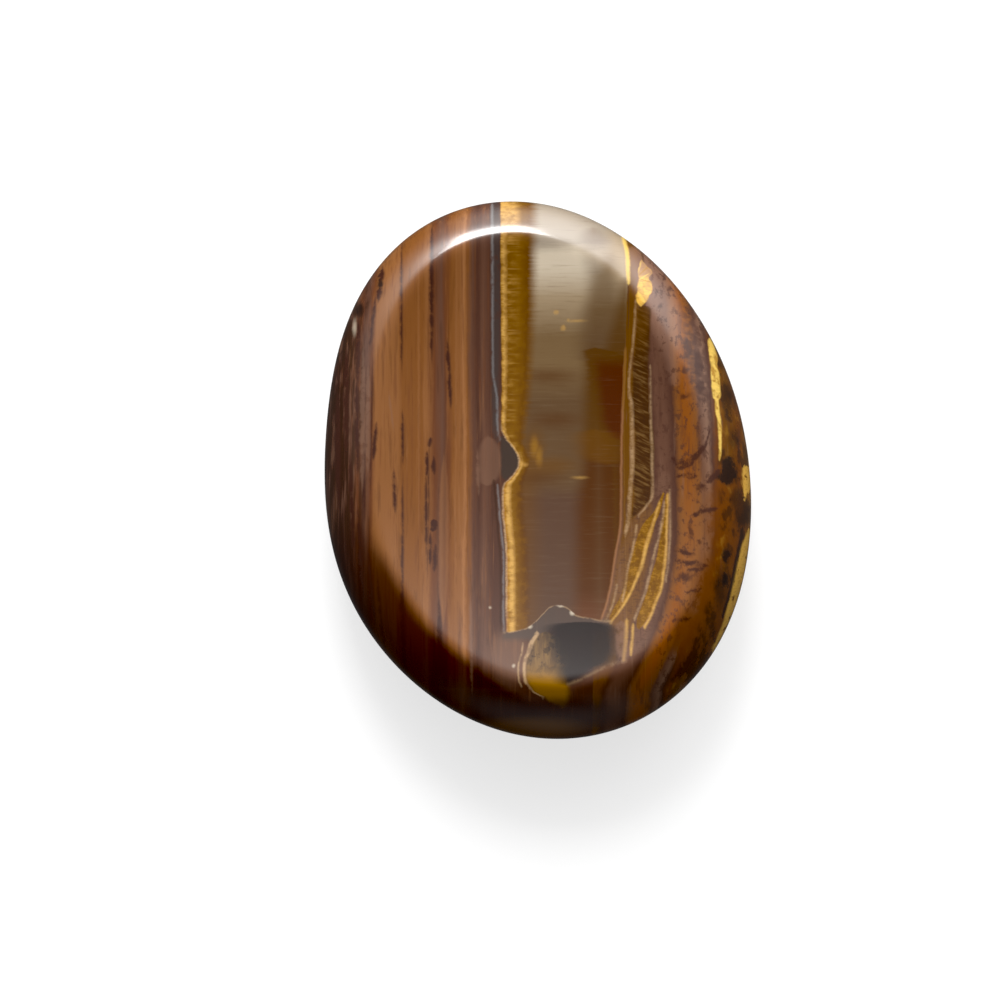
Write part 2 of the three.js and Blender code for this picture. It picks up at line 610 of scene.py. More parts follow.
def jasperColour(across, along, texture):
    settings = jasperSide
    streak = texture["streak"]
    lowest = bands(across + texture["wander"] + (streak - 0.5) * 0.9, settings["bands"])
    paint = Painting(settings, across, along, lowest)
    # fine streaks run along the bands, lighter and darker
    paint.lay(between(streak, 0.55, 0.75) * 0.3, "jasperPale")
    paint.lay(between(texture["darker"], 0.52, 0.72) * 0.45, "redBrown")
    # towards the left edge the jasper is crowded with dark needles
    crowd = texture["crowd"]
    edgeward = between(across, -17.8, -21.5)
    paint.lay(cover(crowd - 0.6 + edgeward * 0.12, 0.12) * (edgeward * 0.6 + 0.2), "darkBrown")
    paint.lay(between(crowd, 0.46, 0.36) * edgeward * 0.4, "mauvePale")
    # painted shade on the lower left end
    inward = across - drawn(along, settings["shadedEnd"])
    paint.lay(between(inward, 1.3, -0.9) * between(along, -3, -12) * 0.78, "shadedRed")
    swell = texture["crinkle"] * 2.4 - 0.2
    faded = between(texture["crinkle"], 0.3, 0.5) * 0.4
    paint.lay(paint.strokes("orange", 0.3) * 0.4, "jasperPale")
    paint.lay(paint.strokes("faint", 0.5) * 0.45, "mauveDark")
    paint.lay(paint.strokes("needles", 0.4, swell) * (faded + 0.6), "needle")
    paint.lay(paint.strokes("pale", 0.35, swell) * (faded + 0.15), "mauvePale")
    paint.lay(paint.spots("blotch", 0.4) * 0.8, "ironBlack")
    # painted highlight: a small chip's glint
    paint.lay(paint.spots("chipGlint", 0.4) * 0.5, "cream")
    # the seam, with its bump
    paint.lay(paint.curves("dome", 0.7) * 0.45, "mauvePale")
    paint.lay(paint.curves("seam", 0.6) * (faded + 0.5), "hematite")
    paint.lay(paint.curves("bump", 0.45), "bumpGrey")
    paint.lay(paint.curves("seamShadow", 0.3) * 0.6, "darkBrown")
    paint.lay(paint.curves("seamLine", 0.4) * (faded + 0.25), "paleBlue")
    return paint.colour


# The golden block of silky tiger eye
block = {
    # its edges: (along, across) on the left and the right, and (across, along) at the foot
    "left": [
        (31, -4.05), (19, -4), (10, -3.9), (5.4, -3.95), (4.2, -3.6), (3.2, -2.9), (2.2, -2.25),
        (1.2, -1.95), (0.4, -2.2), (-0.8, -3.1), (-1.7, -3.75), (-2.6, -3.8), (-6.4, -3.6), (-10.8, -3.4),
        (-18, -3.4),
    ],
    "right": [
        (31, 10), (27, 10.2), (22, 10.4), (19, 10.3), (11.6, 10), (3.3, 9.6), (-5, 9.4), (-8.4, 8.9),
        (-13.5, 8), (-16.6, 7),
    ],
    "foot": [
        (-4, -17.8), (-1.7, -17.4), (-0.3, -16.6), (1, -15.4), (2.2, -14.8), (3.3, -15), (4.3, -15.8),
        (7.6, -16.5),
    ],
    # down the silk, on its left and on its right: (along, mineral); the cream and grey towards the narrow
    # end are painted sheen over the silk's own colour
    "silkLeft": [
        (-18, "silkPurple"), (-3, "silkPurple"), (-1, "silkDark"), (8, "silkDark"), (12.5, "silkOlive"),
        (15.5, "silkOlive"), (20, "silkPale"), (23.6, "cream"), (25, "cream"), (26.4, "silkGrey"),
        (31, "silkGrey"),
    ],
    "silkRight": [
        (-18, "redBrown"), (-13, "brownSilk"), (1, "brownSilk"), (5, "goldSilk"), (13, "goldSilk"),
        (15, "silkDark"), (18.6, "silkOlive"), (22, "silkPale"), (25, "silkPale"), (31, "silkGrey"),
    ],
    # where the two meet: (along, across)
    "silkMiddle": [(31, 9), (24, 7.6), (20, 6.2), (13, 5.6), (2, 5.4), (-4, 4.6), (-18, 4.2)],
    # the golden strip inside the left edge: its width, and its colours from the edge in
    "stripWidth": [
        (31, 4.4), (20, 4.1), (12, 3.6), (7, 3.2), (4, 2.4), (1.4, 1.2), (-0.6, 1.6), (-2.5, 2.4),
        (-17, 2.6),
    ],
    "stripAbove": [
        (0, "gold"), (0.08, "goldPale"), (0.2, "goldDark"), (0.5, "goldDark"), (0.74, "goldBrown"),
        (1, "goldBrown"),
    ],
    "stripBelow": [
        (0, "peachSeam"), (0.1, "gold"), (0.2, "goldPale"), (0.28, "goldPale"), (0.44, "goldDark"),
        (0.7, "goldBrown"), (1, "brownSilk"),
    ],
    "red": [[(13.9, 6.6, 2.4), (12.6, 8.1, 4.6), (10, 8.3, 4.2), (6.4, 8.4, 3.6), (4, 8.8, 2.4)]],
    "redAbove": [[(22, 10.2, 0.4), (19, 9.9, 1.2), (16.5, 9.6, 1.8), (13, 9.2, 2.6)]],
    "dimAbove": [[(28, 6.6, 1), (26, 6.8, 3.2), (24, 7.4, 3.4), (22, 7.6, 3.2), (19, 7.4, 4), (13, 7, 5)]],
    "orange": [[(4.6, 6.6, 3), (3.4, 7, 4.6), (2.2, 7.2, 4.4), (1.2, 8, 2)]],
    "smear": [(1.2, 11, 2.6, 0.75), (2, 6, 2.4, 0.7), (0.4, -0.6, 2.4, 0.8)],
    "olive": [(-0.3, 2.6, 1.1, 2.2), (1.4, 0.8, 2.6, 0.9)],
    "glint": [(-0.2, 2.9, 0.4, 1), (0.3, 1.9, 0.35, 0.9)],
    "specks": [
        (2.3, 18.3, 0.28, 0.24), (4.6, 17.3, 0.7, 0.12), (3.1, 16.5, 0.28, 0.3), (4.9, -0.55, 0.6, 0.12),
        (3.7, 17.4, 0.16, 0.16), (-1.3, 0.9, 0.3, 0.2),
    ],
    "topEdge": [[(31, 10, 0.6), (27, 10.2, 0.5), (23.4, 10.5, 0.42), (21.6, 10.5, 0.24)]],
}


def laySilk(below, across, along, texture):
    settings = block
    fibres = texture["fibres"]
    comb = (fibres - 0.5) * 1.3
    combed = across + comb
    # painted sheen: the silk pales to cream and grey towards the narrow end
    left = bands(along + comb, settings["silkLeft"])
    right = bands(along + comb * 0.6, settings["silkRight"])
    lowest = over(left, between(combed - drawn(along, settings["silkMiddle"]), -1.1, 1.1), right)
    silk = Painting(settings, across, along, lowest)
    silk.lay(between(across, 1.4, -1.8) * between(along, 5, 1) * 0.55, "goldBrown")
    silk.lay(silk.curves("dimAbove", 2.4) * 0.5, "silkDark")
    silk.lay(silk.curves("redAbove", 1.8) * 0.7, "goldSilk")
    silk.lay(curves(along, combed, settings["red"], 0.9) * 0.9, "goldSilk")
    silk.lay(curves(along, combed - 0.9, settings["red"], 1.6) * between(along, 13.6, 11.6), "redSilk")
    silk.lay(curves(along, combed, settings["orange"], 3.4) * 0.6, "goldBrown")
    silk.lay(silk.spots("smear", 1.4) * 0.5, "brownSilk")
    silk.lay(spots(combed, along, settings["olive"], 1.6) * 0.5, "goldBrown")
    silk.lay(spots(across + comb * 0.25, along, settings["glint"], 0.7) * 0.5, "gold")
    silk.lay(between(fibres, 0.52, 0.8) * 0.08, "silkPale")
    silk.lay(between(fibres, 0.48, 0.2) * 0.24, "brownSilk")

    # the golden strip, whose edge towards the silk is combed out sideways
    inset = across - drawn(along, settings["left"])
    share = inset / drawn(along, settings["stripWidth"])
    combedShare = share + (fibres - 0.5) * 0.2
    above = between(along, 0, 3)
    lowest = bands(combedShare, settings["stripBelow"])
    lowest = over(lowest, above, bands(combedShare, settings["stripAbove"]))
    strip = Painting(settings, across, along, lowest)
    # painted sheen: the strip's top end, on the rim, is paler where it catches the light
    strip.lay(between(along, 27.5, 29) * between(share, 0.6, 0.3) * 0.9, "goldPale")
    clumps = texture["clumps"]
    strip.lay(between(clumps, 0.42, 0.7) * between(share, 0.6, 0.1) * 0.35, "goldPale")
    strip.lay(between(clumps, 0.6, 0.3) * (above * 0.2 + 0.25), "goldBrown")
    strip.lay(between(fibres, 0.5, 0.66) * between(share, 0.7, 0.2) * 0.25, "goldPale")
    strip.lay(between(fibres, 0.5, 0.36) * 0.3, "goldBrown")
    strip.lay(between(texture["crinkle"], 0.52, 0.38) * 0.4, "goldDark")
    silk.lay(between(combedShare, 1.1, 0.72), strip.colour)
    silk.lay(silk.spots("specks", 0.34) * 0.45, "goldPale")

    rightInset = drawn(along, settings["right"]) - across
    footInset = along - drawn(across, settings["foot"])
    paint = Painting(settings, across, along, below)
    paint.lay(cover(lesser(lesser(inset, rightInset), footInset), 0.22), silk.colour)
    # thin lines follow the block's edges
    worn = between(texture["tufts"], 0.35, 0.6)
    shown = cover(footInset, 0.3)
    leftLine = window(inset, -0.1, 0.1, 0.24) * window(along, -16, 5, 2) * shown
    paint.lay(leftLine * (worn * 0.5 + 0.3), "whiteSeam")
    rightLine = window(rightInset, -0.1, 0.1, 0.3) * window(along, -16.4, 14, 1) * shown
    paint.lay(rightLine * 0.75, "peachSeam")
    paint.lay(rightLine * between(along, 6, 9) * 0.8, "goldDark")
    paint.lay(paint.curves("topEdge", 0.36) * 0.8, "yellow")
    return paint.colour


# Beyond the block's foot: a grey seam, a patch of hematite and a patch of gold
foot = {
    "hematite": [[
        (-16.9, 4.9, 6.4), (-17.6, 4.9, 7.6), (-18.5, 5, 7.4), (-20, 5.2, 6.8), (-21.5, 4.3, 4.6),
        (-23.2, 3.4, 1.4),
    ]],
    "gold": [[
        (-18, 0.9, 1.6), (-20.1, 1.2, 4.1), (-21.8, 1, 4.6), (-23.5, 1.3, 4.1), (-24.7, 2, 2.6),
        (-25.8, 2.8, 0.5),
    ]],
    "rim": [[
        (-17.9, 0, 0.5), (-19, -0.7, 0.5), (-20.1, -1.05, 0.4), (-21.8, -1.45, 0.3), (-23.5, -0.95, 0.3),
        (-24.7, 0.6, 0.24),
    ]],
    "rimOutside": [[(-19, -1.6, 0.12), (-20.1, -1.75, 0.18), (-21.8, -2.1, 0.18), (-23.5, -1.7, 0.16)]],
    "pink": [(-3, -20.4, 2.2, 3)],
    # how far the grey seam reaches down: (across, reach)
    "bandReach": [(-4, 0.7), (-1, 1.3), (2, 2.6), (5, 1.6), (8.4, 0.8)],
    # these two run across: (across, along, width)
    "lowerBand": [[(3, -24, 1), (5.6, -22.4, 1.5), (8, -21.8, 1.4), (10.4, -21.6, 1)]],
    "lowerLine": [[(3.4, -23.3, 0.24), (4.4, -22.9, 0.24), (7.9, -21.3, 0.2), (9.6, -20.7, 0.2)]],
    "strip": [[(-16.8, 9.3, 1.1), (-18.5, 9.3, 1.3), (-20.8, 9.5, 0.9)]],
    "specks": [
        (2.6, -14.75, 0.4, 0.2), (3.9, -15.6, 0.26, 0.24), (-0.8, -17.1, 0.2, 0.16),
        (-2.6, -21.3, 0.12, 0.12), (-5.2, -15, 0.1, 0.1),
    ],
    # painted shade over the lower end
    "dark": [(3, -26.8, 6, 1.8)],
    "olive": [(-0.6, -28.4, 5.6, 1.2)],
}


def layFoot(below, across, along, texture):
    settings = foot
    ragged = across + texture["jag"]
    paint = Painting(settings, across, along, below)
    paint.lay(spots(ragged, along, settings["pink"], 1.6) * 0.5, "mauvePale")
    under = drawn(across, block["foot"]) - along
    band = window(across, -3.8, 8.2, 0.8) * window(under, -0.1, drawn(across, settings["bandReach"]), 0.9)
    paint.lay(band * 0.85, "footGrey")
    paint.lay(curves(across, along, settings["lowerBand"], 1.6) * 0.7, "mauve")
    paint.lay(curves(along, ragged, settings["gold"], 0.3), "silkDark")
    shine = curves(along, ragged, settings["gold"], 1)
    paint.lay(shine * between(along, -20.4, -23.4) * 0.8, "oliveGold")
    upper = shine * between(along, -23.5, -20)
    paint.lay(upper * between(texture["shortStreak"], 0.42, 0.66) * 0.6, "hatchGold")
    paint.lay(upper * between(texture["crinkle"], 0.5, 0.4) * 0.7, "ironDark")
    paint.lay(curves(along, ragged, settings["hematite"], 2.5) * 0.94, "ironBlack")
    faded = between(texture["crinkle"], 0.36, 0.56)
    line = window(across, -3.6, 8.2, 0.8) * window(under, -0.1, 0.1, 0.24)
    paint.lay(line * (faded * 0.5 + 0.1), "whiteSeam")
    paint.lay(paint.curves("strip", 0.5) * (faded * 0.6), "mauvePale")
    paint.lay(paint.curves("rim", 0.26) * (faded * 0.4 + 0.4), "whiteSeam")
    paint.lay(paint.curves("rimOutside", 0.24) * (faded * 0.5 + 0.2), "whiteSeam")
    paint.lay(curves(across, along, settings["lowerLine"], 0.6) * faded * 0.3, "whiteSeam")
    paint.lay(paint.spots("specks", 0.36) * 0.7, "cream")
    # painted shade at the lower end
    paint.lay(paint.spots("dark", 1.4) * 0.8, "shadedRed")
    paint.lay(paint.spots("olive", 1.2) * 0.8, "goldBrown")
    return paint.colour


# The gold side, from the block to the right edge
goldSide = {
    # how far aside its bands bend: (along, aside)
    "bend": [
        (24, -1.2), (19.7, -1), (14.6, -0.7), (8.3, -0.2), (2, 0), (-5, 0), (-8.4, -0.4), (-11, -0.8),
        (-14.5, -1.6), (-17, -2.6), (-20, -4), (-24, -6),
    ],
    "bands": [
        (9.4, "mauve"), (9.9, "goldBrown"), (12.6, "goldBrown"), (13.2, "mauveDark"), (13.8, "mauve"),
        (14.6, "mauve"), (15.6, "mauveDark"), (16.2, "jasperWarm"), (16.8, "jasperOrange"),
        (17.4, "jasperOrange"), (18.3, "jasperWarm"), (18.7, "mauve"), (19.4, "mauvePale"),
        (19.9, "mauveDark"), (20.5, "orangeBrown"), (21.6, "goldBrown"), (23, "orangeBrown"), (25, "gold"),
    ],
    "matrix": [[
        (0, 14.4, 0.4), (-3, 13.4, 2.6), (-8, 12.2, 5.2), (-13, 11.2, 6.2), (-17, 10, 6), (-20, 9.6, 3),
    ]],
    # painted highlight: the light along the rim's crest, in pink
    "rimHighlight": [[(26, 12, 2), (22, 13.4, 4.6), (17, 14.5, 3.4), (13, 15.3, 1.4), (10, 15.6, 0.4)]],
    # a patch of gold on the rim; its bright yellow is painted sheen
    "brightPatch": [[
        (24.3, 12.1, 0.2), (23.6, 12.3, 0.9), (22.8, 12.5, 1.6), (22.4, 12.3, 1.1), (21.2, 12.4, 1.7),
        (20.2, 12.1, 1.5), (19.6, 12, 1.2), (19.1, 11.9, 0.5),
    ]],
    # strokes: along and across of both ends, and a width
    "patchDark": [(23.8, 13, 22.4, 11.6, 0.24), (22.1, 11.9, 21.7, 13.2, 0.4), (19.3, 12.6, 20.4, 13, 0.3)],
    "patchPale": [
        (24.2, 12, 22.7, 11.5, 0.24), (20.6, 11.5, 19.3, 12.3, 0.4), (22.8, 12.9, 21.9, 11.6, 0.2),
    ],
    "mottled": [[(19, 17.2, 0.6), (16.5, 17.8, 2.2), (13, 18.1, 2.8), (10, 18.5, 2.4), (7.6, 18.9, 1)]],
    "spindle": [[
        (18.6, 12.3, 1.4), (14, 12, 1.6), (10, 11.8, 1.8), (6, 11.9, 2), (3, 12.2, 2.1), (0, 12, 2.1),
        (-2.5, 11.9, 1.8), (-4, 11.3, 1), (-5, 10.7, 0.2),
    ]],
    # (along, across, width)
    "paleLines": [
        [(19.4, 11.3, 0.18), (16, 11.1, 0.2), (12, 10.65, 0.22), (9.6, 10.5, 0.22), (7.8, 10.75, 0.4),
         (2, 10.8, 0.42), (-1, 10.6, 0.42), (-5.6, 10.2, 0.4), (-6.9, 9.9, 0.3)],
        [(12, 12.9, 0.1), (6, 12.9, 0.22), (3, 13, 0.26), (-2, 13, 0.26), (-3.4, 12.5, 0.24),
         (-4.8, 11.4, 0.2)],
        [(-6, 11.2, 0.2), (-9, 10.6, 0.2), (-10.8, 10.1, 0.2), (-13.3, 9.7, 0.2), (-14.2, 9.5, 0.2)],
        [(-3.4, 14.3, 0.14), (-5, 14.1, 0.24), (-9, 13.1, 0.24), (-10.8, 12.65, 0.24), (-13, 12.1, 0.24),
         (-14.5, 11.5, 0.24), (-16.2, 10.8, 0.2)],
        [(-2, 14.9, 0.1), (-5, 14.9, 0.16), (-9, 14.7, 0.16), (-12, 14.3, 0.16)],
        [(-12.6, 8.9, 0.16), (-14.6, 8.4, 0.2), (-16.4, 7.6, 0.16)],
    ],
    "lenses": [
        [(-2.4, 14.2, 0.2), (-4.3, 13.5, 0.6), (-5.7, 12.6, 1.2), (-7.8, 11.8, 1.5), (-9.5, 11.2, 1.3),
         (-11.5, 10.6, 1.2), (-13.3, 10, 1), (-15, 9, 0.9), (-16.7, 8, 0.2)],
        [(-2.5, 14.6, 0.15), (-6, 14.2, 0.6), (-9, 13.9, 0.9), (-11, 13.5, 1.3), (-13, 13, 1.5),
         (-15, 12.2, 1.4), (-16.5, 11.5, 1), (-17.2, 11.2, 0.3)],
    ],
    "brightEdges": [
        [(-3.4, 13.75, 0.2), (-5.7, 13, 0.3), (-7.9, 12.3, 0.4), (-10.2, 11.7, 0.4), (-12.1, 10.95, 0.32),
         (-13.5, 10.3, 0.3), (-15, 9.4, 0.3), (-16.6, 8.1, 0.24)],
        [(-2.5, 14.7, 0.2), (-5.5, 14.55, 0.22), (-8.6, 14.4, 0.26), (-10.8, 14.1, 0.3),
         (-12.9, 13.75, 0.3), (-14.2, 13.2, 0.3), (-15.8, 12.6, 0.3), (-17, 11.9, 0.34)],
        [(-16.5, 9.9, 0.3), (-18.6, 9.75, 0.36), (-20.6, 9.5, 0.3)],
        [(-17, 10.6, 0.26), (-19, 10.4, 0.28), (-20, 10.3, 0.2)],
    ],
    "seam": [[
        (15.2, 19.9, 0.5), (14, 20.1, 0.9), (13, 20.2, 1), (12.2, 20.2, 0.7), (11.4, 20.3, 1),
        (9.5, 20.35, 1), (8.5, 20.4, 0.8), (8.1, 20.4, 0.4), (7.4, 20.4, 0.5), (6, 20.6, 0.4),
        (3.5, 20.65, 0.34), (1.6, 20.5, 0.2),
    ]],
    "edgeGold": [
        [(1.4, 24.2, 0.5), (0.6, 24.1, 1.5), (-0.6, 24, 1.6), (-1.6, 23.9, 1.3), (-2.4, 23.6, 0.4)],
        [(-6.8, 23.9, 0.4), (-7.8, 23.6, 0.9), (-9.3, 23.2, 1.2), (-11.6, 22.7, 1.3), (-14.1, 22.1, 1.2),
         (-17, 21.1, 0.7), (-20, 19.6, 0.3)],
    ],
    "edgeShadow": [[
        (-6.4, 23.1, 0.4), (-8, 22.8, 0.5), (-10, 22.3, 0.5), (-12.8, 21.7, 0.4), (-16, 20.7, 0.3),
    ]],
    # spots: the middle and the radii of each, across and along
    "ironSpots": [
        (21.5, 0.1, 0.95, 1.5), (21.4, 1.3, 0.5, 0.4), (20.5, -0.4, 0.5, 0.3), (21.1, -9.3, 0.5, 0.9),
        (20.9, -11.9, 0.4, 0.7),
    ],
    "shadows": [
        (21.8, 8.4, 0.6, 1.7), (22.4, 3.9, 0.6, 1), (22.6, -3, 0.9, 1.3), (20.4, -13, 0.7, 2),
        (23, -4.6, 1, 1.4),
    ],
    "brownEnd": [(21.4, -5.4, 2.4, 5.6), (19.4, -14, 2, 5), (17.4, -19, 2.4, 4)],
    "mottles": [
        (17.2, 14.1, 0.55, 1.1), (16.9, 11.6, 0.3, 0.5), (14.7, 22.3, 0.2, 0.25), (14.2, 19, 0.2, 0.25),
        (16.8, 8.7, 0.4, 0.3), (17.1, -6.5, 0.3, 0.8), (17.9, -7.8, 0.3, 0.3), (18.3, 12.4, 0.5, 1.6),
        (18.5, 9.8, 0.4, 0.8), (16.4, -11.6, 0.8, 0.5), (15.2, 21, 0.2, 0.3), (13.6, 20.4, 0.16, 0.3),
        (18.2, -1.6, 0.4, 0.3),
    ],
    # strokes: across and along of both ends, and a width
    "branches": [
        (15.1, 1.6, 16.4, 0.5, 0.8), (15.8, 0.8, 17.6, 1.1, 1), (16.9, 1, 18.3, 2.1, 0.9),
        (17.8, 1.8, 19.2, 3.3, 0.8), (18.8, 2.8, 19.5, 4.8, 0.7), (15.6, -0.4, 18, -0.4, 0.5),
        (17.2, -4.8, 18.6, -4.3, 0.55), (18.2, -4.4, 20.2, -4, 0.5), (19, -1.1, 20.6, 0.2, 0.9),
        (15.2, -8.6, 17.6, -9.2, 0.5), (15.4, -9.8, 19, -10.4, 0.55), (16.6, -10.9, 18.6, -10.6, 0.45),
        (16.4, -13.3, 18.2, -13, 0.34), (14.8, -16.4, 17, -16.2, 0.4),
    ],
}


def layGoldSide(below, across, along, texture):
    settings = goldSide
    crinkle = texture["crinkle"]
    streak = texture["shortStreak"]
    bent = across - drawn(along, settings["bend"])
    lowest = bands(bent + texture["wander"] + texture["jag"], settings["bands"])
    paint = Painting(settings, across, along, lowest)
    paint.lay(between(along, 4, -8) * window(across, 15.9, 19.4, 1) * 0.5, "jasper")
    matrix = paint.curves("matrix", 1)
    paint.lay(matrix * 0.3, "mauvePale")
    paint.lay(matrix * between(texture["tufts"], 0.5, 0.36) * 0.5, "mauveDark")
    paint.lay(between(streak, 0.55, 0.75) * 0.35, "mauvePale")
    paint.lay(between(streak, 0.46, 0.3) * 0.5, "mauveDark")
    roughAcross = across + (crinkle - 0.5) * 1.2
    roughAlong = along + texture["jag"] * 3
    # painted highlight along the rim's crest
    paint.lay(paint.curves("rimHighlight", 1.4) * 0.5, "pink")
    # iron has grown through it in small dark branches and mottles
    paint.lay(cover(texture["sprouts"] - 0.57, 0.08) * window(across, 13, 20, 2) * 0.7, "mauveDark")
    mottled = paint.curves("mottled", 1.4)
    paint.lay(mottled * between(texture["clumps"], 0.36, 0.6) * 0.7, "mauveDark")
    paint.lay(spots(roughAcross, roughAlong, settings["mottles"], 0.4) * 0.75, "needle")
    # beyond the last mauve band it is golden brown, and deep orange lower down
    blotch = texture["blotch"]
    edgeward = between(bent, 20, 20.8)
    paint.lay(spots(roughAcross, roughAlong, settings["brownEnd"], 2) * 0.85, "orangeBrown")
    paint.lay(cover(blotch - 0.54, 0.12) * edgeward * 0.7, "darkBrown")
    paint.lay(between(blotch, 0.44, 0.3) * edgeward * 0.4, "gold")
    paint.lay(spots(roughAcross, roughAlong, settings["shadows"], 0.9) * 0.75, "darkBrown")
    paint.lay(spots(roughAcross, roughAlong, settings["ironSpots"], 0.5) * 0.9, "ironBlack")
    broken = between(texture["sprouts"], 0.4, 0.5) * 0.5 + 0.4
    paint.lay(strokes(across, roughAlong, settings["branches"], 0.4) * broken, "needle")

    # the dark spindle, hatched with gold
    paint.lay(paint.curves("spindle", 0.4) * 0.9, "spindleBrown")
    spindle = curves(along, across + 0.15, settings["spindle"], 0.8)
    paint.lay(spindle * between(texture["hatch"], 0.44, 0.74) * 0.45, "hatchGold")
    paint.lay(spindle * between(texture["hatch"], 0.5, 0.34) * 0.3, "darkBrown")
    paint.lay(spindle * between(along, 12, 17) * 0.5, "goldBrown")
    # two lenses of gold with bright edges
    lens = paint.curves("lenses", 0.24)
    paint.lay(lens, "goldDark")
    paint.lay(lens * between(texture["tufts"], 0.42, 0.65) * 0.65, "gold")
    paint.lay(lens * between(crinkle, 0.54, 0.4) * 0.7, "goldBrown")
    beads = between(texture["tufts"], 0.36, 0.62) * 0.4 + between(crinkle, 0.4, 0.58) * 0.6
    paint.lay(paint.curves("paleLines", 0.36) * (beads * 0.5 + 0.2), "whiteSeam")
    paint.lay(paint.curves("brightEdges", 0.36) * (beads * 0.4 + 0.5), "goldPale")
    # a patch of gold on the rim, painted bright yellow as the sheen it catches there
    patch = paint.curves("brightPatch", 0.26)
    paint.lay(patch * (beads * 0.5 + 0.5), "edgeYellow")
    paint.lay(patch * between(along, 22.1, 22.7) * 0.75, "pink")
    paint.lay(patch * paint.strokes("patchDark", 0.3) * 0.7, "gold")
    paint.lay(patch * paint.strokes("patchPale", 0.3) * 0.7, "yellow")
    seam = paint.curves("seam", 0.26)
    paint.lay(seam * (beads * 0.3 + 0.7), "yellow")
    paint.lay(seam * between(crinkle, 0.5, 0.38) * 0.8, "gold")
    edge = curves(along + (blotch - 0.5) * 5, across + (blotch - 0.5) * 1.5, settings["edgeGold"], 0.4)
    paint.lay(edge * between(crinkle, 0.32, 0.42) * 0.95, "edgeYellow")
    paint.lay(edge * between(texture["tufts"], 0.5, 0.36) * 0.4, "gold")
    paint.lay(paint.curves("edgeShadow", 0.3) * 0.8, "ironBlack")
    return over(below, between(across, 6, 6.2), paint.colour)


grain = {
    "middle": (0.05, -0.6),  # mm right of and above the stone's own middle, as the picture shows it
    "backFrom": 5.2,  # mm above the flat spot: lower down, the bands drift
    "backDrift": 0.32,
    "backWaver": 1.1,
    "backSlip": 0.8,  # the waver's share along the bands
    "wander": 0.9,  # mm, how far the bands stray from straight
    "jag": 0.22,  # mm, how ragged the drawn edges are
    "fineJag": 0.4,  # the finest grain's share in that
}


def stoneTexture(place):
    # every noise comes before the first colour, so that the renderer has few numbers to keep at a time
    across, along, depth = place
    slanting = (across * 0.8 - along * 0.5, along + across * 0.5, depth)
    crinkle = noise(place, (1.1, 0.9, 0.9), detail=3, roughness=0.6, shift=8)
    fine = noise(place, (5, 3.6, 3), detail=2, roughness=0.6, shift=1)
    return {
        "crinkle": crinkle,
        "jag": ((crinkle - 0.5) + (fine - 0.5) * grain["fineJag"]) * grain["jag"],
        "wander": (noise(place, (0.1, 0.035, 0.1), detail=1) - 0.5) * grain["wander"],
        "streak": noise(place, (1.8, 0.05, 0.3), detail=3, roughness=0.6),
        "darker": noise(place, (3.4, 0.06, 0.5), detail=3, roughness=0.6, shift=7),
        "crowd": noise(place, (2.4, 0.09, 0.6), detail=3, roughness=0.6, shift=3),
        "shortStreak": noise(place, (1.6, 0.14, 0.4), detail=3, roughness=0.6, shift=2),
        "clumps": noise(place, (0.8, 1.5, 1), detail=1.5, roughness=0.4, shift=12),
        "tufts": noise(place, (1.6, 4.2, 1.5), detail=3, roughness=0.65, shift=4),
        "fibres": noise(place, (0.22, 3.4, 0.8), detail=4, roughness=0.6),
        "sprouts": noise(place, (1.3, 0.9, 0.8), detail=5, roughness=0.7, shift=5),
        "blotch": noise(place, (0.55, 0.3, 0.4), detail=4, roughness=0.6, shift=9),
        "hatch": noise(slanting, (0.5, 3, 1), detail=3, roughness=0.6),
    }


finish = {
    "Roughness": 0.4,  # under the polish
    "IOR": 1.5,
    "Specular IOR Level": 0,
    "Coat Weight": 1,
    "Coat IOR": 1.54,
    "Coat Roughness": 0.165,
}


def stoneMaterial():
    material = bpy.data.materials.new("polished_tiger_iron")
    material.use_nodes = True
    tree = material.node_tree

    # Millimetres across, along and through the bands, which lean back through the stone
    spot = tree.nodes.new("ShaderNodeTexCoord")
    turn = Matrix((viewRight, viewUp, viewBack))
    right, up = grain["middle"]
    mapping = addNode(tree, "ShaderNodeMapping", {
        "Vector": Wire(spot.outputs["Object"]),
        "Location": -(turn @ stoneMiddle) / mm - Vector((right, up, 0)),
        "Rotation": turn.to_euler(),
        "Scale": (1 / mm, 1 / mm, 1 / mm),
    })
    across, along, depth = splitVector(Wire(mapping.outputs[0]))

    # Towards the back the bands drift and waver
    height = splitVector(Wire(spot.outputs["Object"]))[2] / mm
    under = greater(grain["backFrom"] - height, 0)
    waver = (noise((across, along, height), (0.06, 0.05, 0.2), detail=1, shift=6) - 0.5) * grain["backWaver"]
    across = across + under * (waver + grain["backDrift"])
    along = along + under * waver * grain["backSlip"]

    texture = stoneTexture((across, along, depth))
    across = across + texture["jag"]
    along = along + texture["jag"]
    colour = jasperColour(across, along, texture)
    colour = layGoldSide(colour, across, along, texture)
    colour = layFoot(colour, across, along, texture)
    colour = laySilk(colour, across, along, texture)

    setInputs(tree.nodes["Principled BSDF"], {"Base Color": colour, **finish})
    return material


stone = makeStone(stoneMaterial())
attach(stone, "root")
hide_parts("stone")
print("stone made:", len(stone.data.polygons), "faces")


# A pale floor, and soft light that comes mostly from beyond the stone's narrow end
studioSettings = {
    "floorSize": 3.0,
    "surround": 0.1,
    "blackLevel": 0.02,  # what the picture shows as black
}
floorFinish = {
    "Base Color": (0.3, 0.3, 0.3, 1),
    "Roughness": 0.9,
    "Specular IOR Level": 0,
    "Emission Color": (1, 1, 1, 1),
    "Emission Strength": 0.7,  # keeps the stone's shadow pale
}
# turn is to the right of the picture's up and lean is from straight overhead, both in degrees
keyLight = {"turn": -6, "lean": 51, "distance": 0.6, "wide": 0.21, "high": 0.21, "glow": 25}
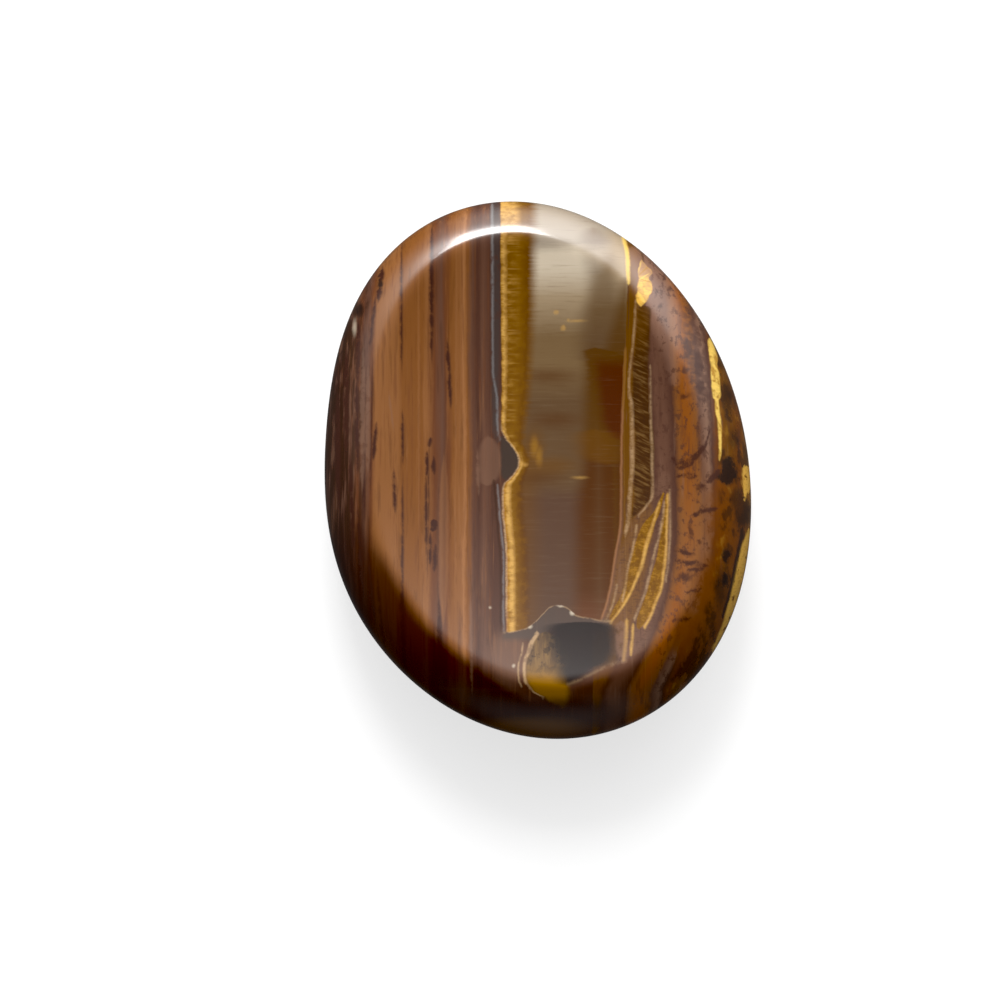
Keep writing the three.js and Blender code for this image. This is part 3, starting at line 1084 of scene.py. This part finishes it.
# soft glows in the sky: (turn, lean, glow, fall), and a larger fall makes a smaller glow
skyGlows = [
    (14, 70, 4.0, 8),
    (8, 57, 2.4, 60),
    (28, 62, 1.4, 16),
    (-20, 56, 6.0, 60),
    (-40, 60, 1.6, 16),
    (0, 22, 0.4, 4),
    (180, 88, 0.5, 4),
    (84, 84, 0.3, 3),
    (-84, 84, 0.25, 3),
]


def makeFloor():
    half = studioSettings["floorSize"] / 2
    mesh = bpy.data.meshes.new("floor")
    corners = [(-half, -half, 0), (half, -half, 0), (half, half, 0), (-half, half, 0)]
    mesh.from_pydata(corners, [], [(0, 1, 2, 3)])
    floor = bpy.data.objects.new("floor", mesh)
    bpy.context.scene.collection.objects.link(floor)
    material = bpy.data.materials.new("floor")
    material.use_nodes = True
    setInputs(material.node_tree.nodes["Principled BSDF"], floorFinish)
    mesh.materials.append(material)
    floor.visible_diffuse = False
    floor.visible_glossy = False


def direction(turn, lean):
    turn, lean = math.radians(turn), math.radians(lean)
    ahead = Vector((viewUp.x, viewUp.y, 0)).normalized()
    level = viewRight * math.sin(turn) + ahead * math.cos(turn)
    return level * math.sin(lean) + Vector((0, 0, math.cos(lean)))


def makeKeyLight():
    lamp = bpy.data.lights.new("key", "AREA")
    lamp.shape = "RECTANGLE"
    lamp.size = keyLight["wide"]
    lamp.size_y = keyLight["high"]
    lamp.energy = keyLight["glow"] * math.pi * keyLight["wide"] * keyLight["high"]
    lampObject = bpy.data.objects.new("key", lamp)
    bpy.context.scene.collection.objects.link(lampObject)
    towards = direction(keyLight["turn"], keyLight["lean"])
    lampObject.location = stoneMiddle + towards * keyLight["distance"]
    lampObject.rotation_mode = "QUATERNION"
    lampObject.rotation_quaternion = towards.to_track_quat("Z", "Y")


def makeSurround():
    # dim all round, with soft glows
    world = bpy.data.worlds.new("surround")
    world.use_nodes = True
    tree = world.node_tree
    sky = Wire(tree.nodes.new("ShaderNodeTexCoord").outputs["Generated"])
    brightness = studioSettings["surround"]
    for turn, lean, glow, fall in skyGlows:
        facing = addNode(tree, "ShaderNodeVectorMath", [sky, direction(turn, lean)])
        facing.operation = "DOT_PRODUCT"
        brightness = greater(Wire(facing.outputs["Value"]), 0) ** fall * glow + brightness
    setInputs(tree.nodes["Background"], {"Color": (1, 1, 1, 1), "Strength": brightness})
    bpy.context.scene.world = world


def setPicture():
    picture = bpy.context.scene.view_settings
    picture.view_transform = "Standard"
    picture.use_curve_mapping = True
    picture.curve_mapping.black_level = [studioSettings["blackLevel"]] * 3
    picture.curve_mapping.update()


makeFloor()
makeSurround()
makeKeyLight()
setPicture()
print("studio lit")
